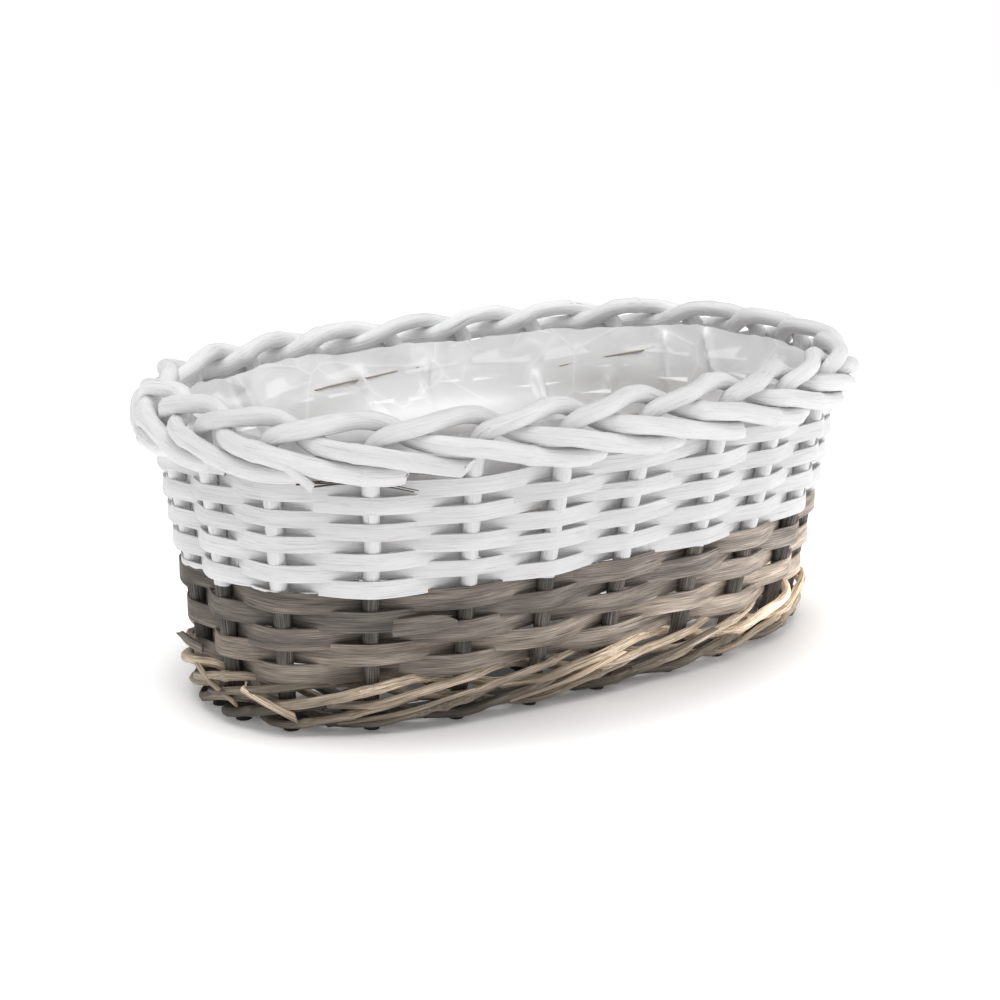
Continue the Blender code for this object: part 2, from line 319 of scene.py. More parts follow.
def makeGreyWillow():  # the bare strips, with the paint that ran over the topmost one's edge
    material, tree, shader = newMaterial("greyWillow")
    grain = useGroup(tree, grainGroup, Coarseness=1.0)
    bare = willowColour(tree, grain, finishes["willowDark"], finishes["willow"], finishes["willowPale"])
    cover = useGroup(tree, paintGroup, Level=wall["paintLine"] + 0.0006, Ragged=0.0022, Pace=70.0)
    painted = mixColours(tree, (cover, "Cover"), (bare, mixed), finishes["paint"][1])
    join(tree, painted, mixed, shader, "Base Color")
    shader.inputs["Roughness"].default_value = 0.72
    grainBump(tree, shader, grain, 0.7, 0.0004)
    return material


def makeStakeFinish():  # white above the paint line, barky grey below it, nearly black at the foot
    material, tree, shader = newMaterial("dippedStake")
    grain = useGroup(tree, grainGroup, Coarseness=0.7)
    bare = willowColour(tree, grain, *finishes["bark"])
    low = mapRange(tree, ownPlace(tree)[1], "Z", (0.004, 0.024), (0.22, 1.0))
    dimmed = multiply(tree, (bare, mixed), (low, "Result"))
    cover = useGroup(tree, paintGroup, Level=wall["paintLine"] - 0.0022, Ragged=0.0030, Pace=60.0)
    painted = mixColours(tree, (cover, "Cover"), (dimmed, mixed), (paintColour(tree, grain), mixed))
    join(tree, painted, mixed, shader, "Base Color")
    gloss = mapRange(tree, cover, "Cover", (0.0, 1.0), (0.78, 0.50))
    join(tree, gloss, "Result", shader, "Roughness")
    grainBump(tree, shader, grain, 0.6, 0.0006)
    return material


def makeBareRod(name, colours, roughness, rise=None):
    material, tree, shader = newMaterial(name)
    grain = useGroup(tree, grainGroup, Coarseness=0.75)
    colour = willowColour(tree, grain, *colours)
    if rise:
        colour = multiply(tree, (colour, mixed), (drift(tree, "Z", rise), mixed))
    join(tree, colour, mixed, shader, "Base Color")
    shader.inputs["Roughness"].default_value = roughness
    grainBump(tree, shader, grain, 0.6, 0.0004)
    return material


whitePaint = makeWhitePaint()
greyWillow = makeGreyWillow()
dippedStake = makeStakeFinish()
strawColours = (*finishes["straw"], finishes["strawTones"])
# the straw rods grow darker towards the floor and paler at the top of the waled foot
strawWillow = makeBareRod("strawWillow", strawColours, 0.62, finishes["darkerLow"])
darkWillow = makeBareRod("darkWillow", finishes["foot"], 0.66)
baseWillow = makeBareRod("baseWillow", finishes["base"], 0.78)
print("wood finishes made")


# rods and strips: a straight blank is spun out, one ring for each unit of x, then bent along its path
def straightBlank(sides, rings, squareness=1.0):
    bm = bmesh.new()
    bmesh.ops.create_circle(bm, segments=sides, radius=1.0)
    bmesh.ops.rotate(bm, verts=bm.verts, cent=(0, 0, 0), matrix=Matrix.Rotation(math.pi / 2, 3, "Y"))
    if squareness != 1.0:
        for vert in bm.verts:
            vert.co.y = math.copysign(abs(vert.co.y) ** squareness, vert.co.y)
            vert.co.z = math.copysign(abs(vert.co.z) ** squareness, vert.co.z)
    bmesh.ops.spin(bm, geom=bm.verts[:] + bm.edges[:], cent=(0, 0, 0), axis=(1, 0, 0),
                   dvec=(1, 0, 0), angle=0.0, steps=rings - 1, use_merge=False, use_duplicate=False)
    rims = [edge for edge in bm.edges if edge.is_boundary]
    caps = bmesh.ops.holes_fill(bm, edges=rims, sides=0)["faces"]
    bmesh.ops.inset_region(bm, faces=caps, thickness=0.16, depth=0.0, use_even_offset=True)
    for vert in {vert for cap in caps for vert in cap.verts}:  # the rim of each cut is eased by a fibre
        vert.co.x += 0.12 if vert.co.x > 0.5 * rings else -0.12
    bmesh.ops.recalc_face_normals(bm, faces=bm.faces[:])
    return bm


def smoothPath(points, step):
    knots = np.array([tuple(point) for point in points])
    chords = np.sqrt(np.linalg.norm(np.diff(knots, axis=0), axis=1))
    times = np.concatenate([[0.0], np.cumsum(chords)])
    slopes = np.gradient(knots, times, axis=0)
    out = []
    for index in range(len(knots) - 1):
        span = times[index + 1] - times[index]
        count = max(1, round(float(np.linalg.norm(knots[index + 1] - knots[index])) / step))
        for t in np.arange(count) / count:
            out.append((2 * t**3 - 3 * t**2 + 1) * knots[index] + (t**3 - 2 * t**2 + t) * span * slopes[index]
                       + (3 * t**2 - 2 * t**3) * knots[index + 1] + (t**3 - t**2) * span * slopes[index + 1])
    out.append(knots[-1])
    return np.array(out)


def unit(vectors):
    return vectors / np.linalg.norm(vectors, axis=1)[:, None]


def carriedAxes(line):  # two axes across a path, carried along it without twisting
    tangents = unit(np.gradient(line, axis=0))
    start = np.cross(tangents[0], (0.31, 0.27, 0.91))
    first = [start / np.linalg.norm(start)]
    for tangent in tangents[1:]:
        axis = first[-1] - tangent * np.dot(first[-1], tangent)
        first.append(axis / np.linalg.norm(axis))
    first = np.array(first)
    return first, np.cross(tangents, first)


def layOn(bm, line, thickAxis, wideAxis, halfThick, halfWide, seed, knobble=0.05, shade=None):
    grain = bm.verts.layers.float_vector.get("grain") or bm.verts.layers.float_vector.new("grain")
    tone = bm.verts.layers.float.get("tone") or bm.verts.layers.float.new("tone")
    steps = np.linalg.norm(np.diff(line, axis=0), axis=1)
    lengths = np.concatenate([[0.0], np.cumsum(steps)])
    last = len(line) - 1
    if shade is None:
        shade = 0.5 + 0.5 * math.sin(seed * 12.9898)
    for vert in bm.verts:
        x = min(max(vert.co.x, 0.0), last)
        low = min(int(x), last - 1)
        t = x - low
        along = lengths[low] * (1 - t) + lengths[low + 1] * t
        thick = halfThick[low] * (1 - t) + halfThick[low + 1] * t
        wide = halfWide[low] * (1 - t) + halfWide[low + 1] * t
        bumps = Vector((along * 90 + seed * 5.1, vert.co.y * 1.3, vert.co.z * 1.3))
        uneven = 1.0 + knobble * noise.noise(bumps)
        y, z = vert.co.y * thick * uneven, vert.co.z * wide * uneven
        over = vert.co.x - x  # past a cut end
        centre = line[low] * (1 - t) + line[low + 1] * t
        if over:
            away = (line[low + 1] - line[low]) if over > 0 else (line[1] - line[0])
            centre = centre + away * over
        place = centre + thickAxis[low] * (y * (1 - t)) + thickAxis[low + 1] * (y * t)
        place = place + wideAxis[low] * (z * (1 - t)) + wideAxis[low + 1] * (z * t)
        vert[grain] = Vector((along + seed * 0.437, y, z + seed * 0.011))
        vert[tone] = shade
        vert.co = Vector(place)


def finishPiece(name, bm, material, node, sharp=48):  # node is None for an extra that replaces nothing
    mesh = bpy.data.meshes.new(name)
    bm.to_mesh(mesh)
    bm.free()
    mesh.materials.append(material)
    mesh.shade_smooth()
    mesh.set_sharp_from_angle(angle=math.radians(sharp))
    piece = bpy.data.objects.new(name, mesh)
    bpy.context.scene.collection.objects.link(piece)
    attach(piece, "root")
    if node:
        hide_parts(node)
    return piece


def addRod(bm, points, step, radii, seed, sides=12, knots=(), cutSlant=(0.0, 0.0), knobble=0.06, shade=None):
    # radii are at the start and at the end; knots are (share of the length, swelling)
    line = smoothPath(points, step)
    blank = straightBlank(sides, len(line))
    for vert in blank.verts:
        if vert.co.x < 0.5:
            vert.co.x += cutSlant[0] * vert.co.z
        elif vert.co.x > len(line) - 1.5:
            vert.co.x += cutSlant[1] * vert.co.z
    share = np.linspace(0.0, 1.0, len(line))
    radius = radii[0] + (radii[1] - radii[0]) * share
    length = float(np.linalg.norm(np.diff(line, axis=0), axis=1).sum())
    for at, swelling in knots:
        radius = radius * (1.0 + swelling * np.exp(-(((share - at) * length / 0.0022) ** 2)))
    first, second = carriedAxes(line)
    layOn(blank, line, first, second, radius, radius, seed, knobble, shade)
    addTo(bm, blank)


def addTo(bm, other):
    carrier = bpy.data.meshes.new("carrier")
    other.to_mesh(carrier)
    other.free()
    bm.from_mesh(carrier)
    bpy.data.meshes.remove(carrier)


# stakes: the cut foot, the upright, and the stake's own end rolled into the border
stake = {
    "radius": 0.0040, "tipRadius": 0.0049, "footStraight": 0.0030, "step": 0.0030,
    "ridge": 0.158032, "rodPass": 0.0084, "drop": 0.023352, "sway": 0.0009, "rise": 0.0238,
    # the rolled end: gaps along the wall, rod passes outwards, and drops below the ridge
    "path": (
        (0.00, 0.00, 0.46), (0.08, 0.09, 0.30), (0.26, 0.22, 0.16), (0.46, 0.14, 0.07), (0.66, -0.34, 0.02),
        (0.86, -0.84, 0.00), (1.05, -0.98, 0.05), (1.24, -0.72, 0.23), (1.40, -0.06, 0.39),
        (1.57, 0.60, 0.45), (1.77, 0.98, 0.50), (2.02, 1.04, 0.59), (2.50, 1.04, 0.82),
    ),
    # most ends slip in behind the next rod, and a few are cut short in front of it
    "tucked": ((2.90, 1.02, 0.97), (3.12, 0.88, 1.01), (3.32, 0.52, 1.01)),
    "cut": {1: ((2.84, 1.05, 0.96),), 4: ((2.95, 1.04, 0.99), (3.12, 1.05, 1.01)), 17: ((2.95, 1.04, 0.99),)},
}


def stakePoints(number):
    ankle = wallPlace(number, 0.0, stake["footStraight"])[0]
    points = [Vector((ankle.x, ankle.y, 0.0)), ankle]
    points.append(wallPlace(number, 0.0, wall["footHeight"] / 2)[0])
    for rise in range(5):
        height = wall["footHeight"] + rise * stake["rise"]
        point, outward = wallPlace(number + 0.04 * wobble(rise, number, 0.9), 0.0, height)
        points.append(point + outward * stake["sway"] * wobble(rise, number + 40, 0.8))
    for along, across, down in stake["path"] + stake["cut"].get(number, stake["tucked"]):
        height = stake["ridge"] - down * stake["drop"]
        points.append(wallPlace(number + along, across * stake["rodPass"], height)[0])
    return points


def makeStakes():
    random.seed(11)
    for number in range(stakeCount):
        bm = bmesh.new()
        knots = [(random.uniform(0.40, 0.98), random.uniform(0.06, 0.16)) for _ in range(6)]
        butt = stake["radius"] * random.uniform(0.95, 1.04)
        tip = stake["tipRadius"] * random.uniform(0.88, 1.05)
        addRod(bm, stakePoints(number), stake["step"], (butt, tip), number + 1.0, 12, knots,
               (0.0, random.choice((-1, 1)) * random.uniform(0.9, 2.0)))
        name = f"{number + 1:02d}"
        finishPiece(f"dippedStake_{name}", bm, dippedStake, f"stake_{name}")


makeStakes()
print("stakes and rolled border made")

# woven rows: split strips, two lengths to a row, their ends hidden behind stakes
row = {
    "bare": 5, "painted": 8, "barePitch": 0.00925, "paintedPitch": 0.00696, "start": 0.02745,
    "lap": 0.0014, "thick": 0.0015, "offset": 0.0049, "roundness": 1.05, "perGap": 16, "overlap": 0.34,
    "square": 0.15, "sway": 0.0030, "stray": 0.0004, "sag": 0.0008, "tuck": 1.08,
}

# loose strip ends: the row that each belongs to, its half width, and its places, heights and offsets
looseEnds = (
    ("paintedStrip_8", 0.0031, ((0.86, 0.1392, 0.0060), (1.14, 0.1388, 0.0085), (1.78, 0.1352, 0.0100))),
    ("paintedStrip_8", 0.0033, ((0.28, 0.1322, 0.0070), (0.90, 0.1338, 0.0090), (1.52, 0.1338, 0.0094))),
    ("bareStrip_1", 0.0024, ((0.35, 0.0335, 0.0062), (0.05, 0.0345, 0.0082), (-0.25, 0.0358, 0.0098))),
    ("bareStrip_3", 0.0043, ((3.20, 0.0556, 0.0040), (3.55, 0.0566, 0.0062), (3.80, 0.0572, 0.0070))),
)
peg = {"radius": 0.0025, "places": ((2.14, 0.1440, 0.0070), (2.25, 0.1398, 0.0112), (2.47, 0.1302, 0.0128))}
fibres = {
    "radius": 0.0005,
    "places": (
        ((2.30, 0.1300, 0.0070), (2.62, 0.1328, 0.0080), (2.98, 0.1318, 0.0078), (3.40, 0.1262, 0.0070)),
        ((2.42, 0.1290, 0.0068), (2.78, 0.1312, 0.0078), (3.12, 0.1290, 0.0076), (3.36, 0.1256, 0.0068)),
        ((2.26, 0.1312, 0.0066), (2.55, 0.1312, 0.0074), (2.90, 0.1330, 0.0076), (3.20, 0.1300, 0.0068)),
    ),
}


def rowLevel(place, height, seed):  # neighbouring rows wander up and down together, and a little on their own
    together = noise.noise(Vector((place * 0.42, height * 24, 1.7)))
    return height + row["sway"] * together + row["stray"] * wobble(place, seed, 0.5)


def rowLine(number, height, pitch, first, last, seed):
    count = max(3, round((last - first) * row["perGap"]))
    line, thickAxis, wideAxis, halfThick, halfWide = [], [], [], [], []
    for place in np.linspace(first, last, count + 1):
        zigzag = 2 * abs((place + number) % 2 - 1) - 1  # 1 in front of a stake, -1 behind it
        swing = math.sin(row["roundness"] * zigzag) / math.sin(row["roundness"])
        offset = row["offset"] * swing * (1.0 + 0.10 * wobble(place, seed + 9, 0.8))
        level = rowLevel(place, height, seed) - row["sag"] * (1 - swing) / 2  # packed down behind the stakes
        point, outward = wallPlace(place, offset, level)
        twist = math.radians(4.0) * wobble(place, seed + 21, 0.5)
        tuck = row["tuck"] * row["thick"] / pitch  # the top edge lies behind the row above
        slope = wallSlope(place, height) + math.tan(twist) - tuck
        upright = (Vector((0, 0, 1)) + outward * slope).normalized()
        along = outward.cross(Vector((0, 0, 1)))
        line.append(tuple(point))
        wideAxis.append(tuple(upright))
        thickAxis.append(tuple(upright.cross(along).normalized()))
        halfWide.append((pitch + row["lap"]) / 2 * (1.0 + 0.10 * wobble(place, seed + 33, 0.6)))
        halfThick.append(row["thick"] / 2 * (1.0 + 0.3 * wobble(place, seed + 51, 0.7)))
    return [np.array(x) for x in (line, thickAxis, wideAxis, halfThick, halfWide)]


def addLooseEnd(bm, halfWide, places, seed):
    line = smoothPath(wallPath(places), 0.0014)
    around = np.linspace(places[0][0], places[-1][0], len(line))
    outward = np.array([tuple(wallPlace(place, 0.0, places[0][1])[1]) for place in around])
    tangents = unit(np.gradient(line, axis=0))
    wideAxis = unit(np.cross(outward, tangents))
    share = np.linspace(0.0, 1.0, len(line))
    narrowed = halfWide * (1.0 - 0.35 * np.clip((share - 0.7) / 0.3, 0, 1))
    blank = straightBlank(12, len(line), row["square"])
    for vert in blank.verts:  # the tip is torn along the fibres
        if vert.co.x > len(line) - 1.5:
            vert.co.x += 1.6 * math.sin(vert.co.z * 5 + seed) + 1.1 * math.sin(vert.co.z * 13 + seed)
    thickAxis = np.cross(tangents, wideAxis)
    layOn(blank, line, thickAxis, wideAxis, np.full(len(line), row["thick"] / 2), narrowed, seed, 0.05)
    addTo(bm, blank)


def makeRow(number, height, pitch, material, name, node):
    bm = bmesh.new()
    joints = sorted(random.sample(range(stakeCount // 2), 2))
    # a joint sits where this row runs behind a stake
    joints = [2 * joint + (1 if number % 2 == 0 else 0) for joint in joints]
    for piece, joint in enumerate(joints):
        follow = joints[(piece + 1) % len(joints)]
        if follow <= joint:
            follow += stakeCount
        first, last = joint - row["overlap"], follow + row["overlap"]
        seed = number * 3.0 + piece + 1.0
        line, thickAxis, wideAxis, halfThick, halfWide = rowLine(number, height, pitch, first, last, seed)
        inner = np.clip(1.0 - (np.linspace(first, last, len(line)) - first) / (2.2 * row["overlap"]), 0, 1)
        facing = np.sign(np.einsum("ij,ij->i", thickAxis, line))
        line = line - thickAxis * (inner * facing * row["thick"] * 1.15)[:, None]
        blank = straightBlank(12, len(line), row["square"])
        for vert in blank.verts:  # torn fibres at both ends
            if vert.co.x < 0.5 or vert.co.x > len(line) - 1.5:
                vert.co.x += 0.35 * math.sin(vert.co.z * 9 + seed)
        layOn(blank, line, thickAxis, wideAxis, halfThick, halfWide, seed, 0.03)
        addTo(bm, blank)
    for index, (owner, halfWide, places) in enumerate(looseEnds):
        if owner == name:
            addLooseEnd(bm, halfWide, places, number + index * 1.7)
    if name == "paintedStrip_8":
        radii = peg["radius"], peg["radius"] * 0.85
        addRod(bm, wallPath(peg["places"]), 0.0012, radii, 61.0, 10, (), (0.0, 0.7))
    finishPiece(name, bm, material, node, 60)


def makeRows():
    random.seed(23)
    paintedStart = row["start"] + row["bare"] * row["barePitch"]
    for number in range(row["bare"]):
        height = row["start"] + (number + 0.5) * row["barePitch"]
        makeRow(number, height, row["barePitch"], greyWillow, f"bareStrip_{number + 1}",
                f"natural_row_{number + 1}")
    for number in range(row["painted"]):
        height = paintedStart + (number + 0.5) * row["paintedPitch"]
        makeRow(row["bare"] + number, height, row["paintedPitch"], whitePaint, f"paintedStrip_{number + 1}",
                f"painted_row_{number + 1}")


def makeFibres():  # a torn patch that the paint missed, under the border
    bm = bmesh.new()
    radii = fibres["radius"], fibres["radius"] * 0.5
    for number, places in enumerate(fibres["places"]):
        addRod(bm, wallPath(places), 0.0015, radii, 140.0 + number, 6)
    finishPiece("bareFibres", bm, baseWillow, None)


makeRows()
makeFibres()
print("woven rows made")

# waled foot: three rods in each round, over two stakes and behind the third
wale = {
    "rounds": 2, "rods": 3, "seam": 16, "radius": 0.00215, "offset": 0.00785, "start": 0.01005,
    "step": 0.0055, "sway": 0.0014, "knots": 30,
    "sides": (-1, 0, 1, 1, 1, 0), "rises": (0, -0.85, -0.75, 0, 0.75, 0.85),
    # for the wale rods this is how thick each rod is, as a share of the radius
    "thicknessAndSideShade": (1.12, 0.86, 1.02, 0.88, 1.14, 0.94), "shades": (0.16, 0.58, 0.32, 0.40, 0.92, 0.62),
    # loose ends: half thickness, shade, and places, heights and offsets; the first hangs out in front
    "ends": (
        (0.0019, 1.00, ((1.44, 0.0225, 0.0088), (1.86, 0.0170, 0.0104), (2.16, 0.0112, 0.0110))),
        (0.0013, 0.75, ((0.10, 0.0250, 0.0080), (0.70, 0.0205, 0.0098), (1.30, 0.0140, 0.0102))),
        (0.0015, 0.20, ((0.50, 0.0130, 0.0080), (1.00, 0.0170, 0.0096), (1.60, 0.0220, 0.0090))),
        (0.0012, 0.55, ((2.60, 0.0070, 0.0080), (3.30, 0.0110, 0.0098), (4.10, 0.0190, 0.0094))),
        (0.0014, 0.85, ((4.60, 0.0080, 0.0080), (5.40, 0.0140, 0.0098), (6.10, 0.0230, 0.0088))),
        (0.0013, 0.10, ((6.30, 0.0110, 0.0080), (6.90, 0.0170, 0.0098), (7.50, 0.0225, 0.0088))),
    ),
}


def makeWale():
    random.seed(5)
    for number in range(wale["rounds"] * wale["rods"]):
        waleRound, rod = divmod(number, wale["rods"])
        middle = wale["start"] + 2 * waleRound * wale["step"]
        points = []
        for half in range(2 * (stakeCount - 1)):
            place = wale["seam"] + rod + half / 2
            side, rise = wale["sides"][half % 6], wale["rises"][half % 6]
            height = middle + rise * wale["step"] + wale["sway"] * wobble(half, number + 60, 0.55)
            offset = side * wale["offset"] * (1.0 + 0.10 * wobble(half, number + 75, 0.7))
            points.append(wallPlace(place, offset, height)[0])
        bm = bmesh.new()
        knots = [(random.random(), random.uniform(0.12, 0.34)) for _ in range(wale["knots"])]
        radius = wale["radius"] * wale["thicknessAndSideShade"][number]
        radii = radius * 1.08, radius * 0.94
        addRod(bm, points, 0.0026, radii, number + 70.0, 12, knots, (0.8, -0.8), 0.26, wale["shades"][number])
        half, shade, places = wale["ends"][number]
        addRod(bm, wallPath(places), 0.0018, (half, half), number + 87.0, 12, (), (0.0, 1.1), 0.16, shade)
        finishPiece(f"strawRod_{number + 1}", bm, strawWillow, f"wale_rod_{number + 1}")


makeWale()
print("waled foot made")

# woven base: two dark hoops, cross sticks, and wide strips over and under them
base = {
    "roundRadius": 0.0025, "roundHeight": 0.0029, "roundOffset": 0.0069, "roundSpacing": 0.0054,
    "stickRadius": 0.0030, "stickHeight": 0.0088, "sticks": 6, "sticksShare": 0.967,
    "strips": 6, "stripGap": 0.0045, "stripThick": 0.0016, "stripsShare": 0.960, "clear": 0.0004,
    "rounds": 2, "stickSway": 0.0006, "stripSquare": 0.42, "stripStep": 0.006,
}


def baseReach(level, halfSide, otherHalfSide):
    return halfSide * (1.0 - (abs(level) / otherHalfSide) ** wall["power"]) ** (1 / wall["power"])


def makeBase():
    for number in range(base["rounds"]):
        offset = -(base["roundOffset"] + number * base["roundSpacing"])
        points = wallPath([(half / 2, base["roundHeight"], offset) for half in range(1, 2 * stakeCount + 1)])
        bm = bmesh.new()
        addRod(bm, points, 0.004, (base["roundRadius"], base["roundRadius"] * 0.92), number + 81.0, 10)
        finishPiece(f"baseHoop_{number + 1}", bm, darkWillow, f"base_round_{number + 1}")
    inside = base["roundOffset"] + base["roundSpacing"]
    halfLength, halfWidth = [side - inside for side in ovalSides(base["roundHeight"])]
    stickPitch = 2 * halfLength * base["sticksShare"] / base["sticks"]
    stickPlaces = [(number - (base["sticks"] - 1) / 2) * stickPitch for number in range(base["sticks"])]
    for number, x in enumerate(stickPlaces):
        reach = baseReach(x, halfWidth, halfLength)
        points = [(x + base["stickSway"] * wobble(t, number + 90, 2.0), y, base["stickHeight"])
                  for t, y in enumerate(np.linspace(-reach, reach, 7))]
        bm = bmesh.new()
        addRod(bm, points, 0.005, (base["stickRadius"], base["stickRadius"] * 0.93), number + 90.0, 10)
        finishPiece(f"crossStick_{number + 1}", bm, darkWillow, f"base_stick_{number + 1}")
    innerLength = halfLength - base["roundRadius"] - 2 * base["clear"]
    innerWidth = halfWidth - base["roundRadius"] - 2 * base["clear"]
    pitch = 2 * innerWidth * base["stripsShare"] / base["strips"]
    wide = pitch - base["stripGap"]
    rise = base["stickRadius"] + base["stripThick"] / 2 + base["clear"]
    for number in range(base["strips"]):
        y = (number - (base["strips"] - 1) / 2) * pitch
        reach = baseReach(abs(y) + wide / 2, innerLength, innerWidth)
        crossed = [(x, 1 if (stick + number) % 2 == 0 else -1) for stick, x in enumerate(stickPlaces)
                   if abs(x) < reach - 2 * base["stickRadius"]]
        xs = [-reach] + [x for x, _ in crossed] + [reach]
        zs = [crossed[0][1]] + [side for _, side in crossed] + [crossed[-1][1]]
        count = round(2 * reach / base["stripStep"])
        line = []
        for x in np.linspace(-reach, reach, count + 1):
            index = min(int(np.searchsorted(xs, x, side="right")) - 1, len(xs) - 2)
            t = (x - xs[index]) / (xs[index + 1] - xs[index])
            ease = (1 - math.cos(math.pi * t)) / 2
            line.append((x, y, base["stickHeight"] + rise * (zs[index] * (1 - ease) + zs[index + 1] * ease)))
        line = np.array(line)
        flat = np.tile((0.0, 0.0, 1.0), (len(line), 1))
        side = np.tile((0.0, 1.0, 0.0), (len(line), 1))
        blank = straightBlank(12, len(line), base["stripSquare"])
        halfThick, halfWide = np.full(len(line), base["stripThick"] / 2), np.full(len(line), wide / 2)
        layOn(blank, line, flat, side, halfThick, halfWide, number + 100.0, 0.03)
        name, node = f"baseSplit_{number + 1}", f"base_strip_{number + 1}"
        finishPiece(name, blank, baseWillow, node, 60)


makeBase()
print("base made")

# film liner: an open bag pushed into the planter, creased where it was folded
film = {
    "around": 440, "floor": 0.0146, "corner": 0.0055, "footOffset": 0.0113, "wallOffset": 0.0076,
    "top": 0.1478, "foldTop": 0.12583, "wallRings": 60, "floorRings": 34, "foldDepth": 0.0170,
    # unevenness: of the lip, slow and quick, and of the wall and floor, large and small
    "wave": 0.0030, "ripple": 0.0012, "wallFacets": (0.0046, 0.0015), "floorFacets": (0.0060, 0.0016),
    # where the wider foot offset ends, and how the wall's creases, the folds and the pleats fade out
    "footEnd": 0.0266, "footEase": 0.0100, "wallFade": 0.02, "foldEnd": 1.04, "foldEase": 0.16,
    "pleatLevel": 0.11, "pleatEase": (0.02, 0.006),
    # how milky it is low down, in the upper wall and under the border: flat, and added by creases; where it
    # is milkier the film is also whiter, partly its own whitening and partly painted highlight on folds and
    # creases
    "haze": ((0.01, 0.04), (0.66, 0.31), (0.87, 0.10)), "hazeHeights": (0.062, 0.088, 0.118, 0.130),
    "hazeInset": 0.011, "floorHaze": (0.03, 0.10), "mostHaze": 0.97,
    # two nets of fine creases, coarse and fine: scale and width, and how much each adds
    "nets": ((15.0, 0.016), (37.0, 0.030)), "netShares": (0.14, 0.34),
    # place, level, half width in gaps, half height, depth and slant in gaps per unit of level
    "folds": (
        (16.6, 0.82, 1.45, 0.17, 1.00, 1.6), (14.6, 0.57, 0.80, 0.21, 0.35, 0.6),
        (19.6, 0.68, 0.75, 0.20, 0.47, -0.9), (12.2, 0.64, 0.87, 0.20, 0.44, 0.5),
        (4.0, 0.57, 1.42, 0.21, 0.41, 0.0), (8.2, 0.64, 1.19, 0.19, 0.35, 0.4),
        (0.9, 0.60, 0.87, 0.21, 0.35, 0.0), (10.4, 0.57, 0.80, 0.21, 0.41, 0.0),
    ),
    # place, half width in gaps, depth, slant in gaps per metre, lowest and highest point
    "pleats": (
        (13.28, 0.040, 0.0060, 2.3, 0.066, 0.146), (19.20, 0.040, 0.0050, 10.0, 0.100, 0.148),
        (17.4, 0.045, 0.0045, 8.0, 0.095, 0.141), (16.9, 0.040, 0.0040, -7.0, 0.105, 0.141),
        (15.1, 0.045, 0.0060, 1.0, 0.085, 0.128), (14.2, 0.045, 0.0035, -8.0, 0.070, 0.124),
        (12.4, 0.050, 0.0055, 9.0, 0.110, 0.150), (11.3, 0.050, 0.0045, -3.0, 0.055, 0.140),
        (19.8, 0.050, 0.0050, 5.0, 0.070, 0.138), (20.7, 0.055, 0.0055, -4.0, 0.055, 0.140),
        (0.3, 0.055, 0.0050, 3.0, 0.055, 0.140), (1.6, 0.050, 0.0040, -6.0, 0.065, 0.138),
        (3.1, 0.060, 0.0045, 5.0, 0.045, 0.136), (4.8, 0.055, 0.0050, -5.0, 0.055, 0.140),
        (6.4, 0.050, 0.0040, 4.0, 0.055, 0.135), (7.7, 0.060, 0.0050, -3.0, 0.045, 0.140),
        (9.2, 0.055, 0.0050, 3.0, 0.055, 0.140), (21.4, 0.045, 0.0045, -7.0, 0.055, 0.136),
    ),
}


def crumple(point):  # flat facets that meet at straight ridges
    return noise.voronoi(point)[0][0]


def gapsAway(place, at):
    return (place - at + stakeCount / 2) % stakeCount - stakeCount / 2


def filmFolds(place, height):
    share = (height - film["floor"]) / (film["foldTop"] - film["floor"])
    depth = 0.0
    for at, level, wide, tall, deep, slant in film["folds"]:
        away = gapsAway(place, at + slant * (share - level))
        spread = (away / wide) ** 2 + ((share - level) / tall) ** 2
        if spread < 6:
            depth += deep * film["foldDepth"] * math.exp(-spread)
    return depth * min(1.0, max(0.0, (film["foldEnd"] - share) / film["foldEase"]))


def filmPleats(place, height):
    depth = 0.0
    below, above = film["pleatEase"]
    for at, wide, deep, slant, low, high in film["pleats"]:
        away = gapsAway(place, at + slant * (height - film["pleatLevel"]))
        if abs(away) < 6 * wide and low < height < high:
            fade = min(1.0, (height - low) / below, (high - height) / above)
            depth += deep * fade * math.exp(-abs(away / wide))
    return depth


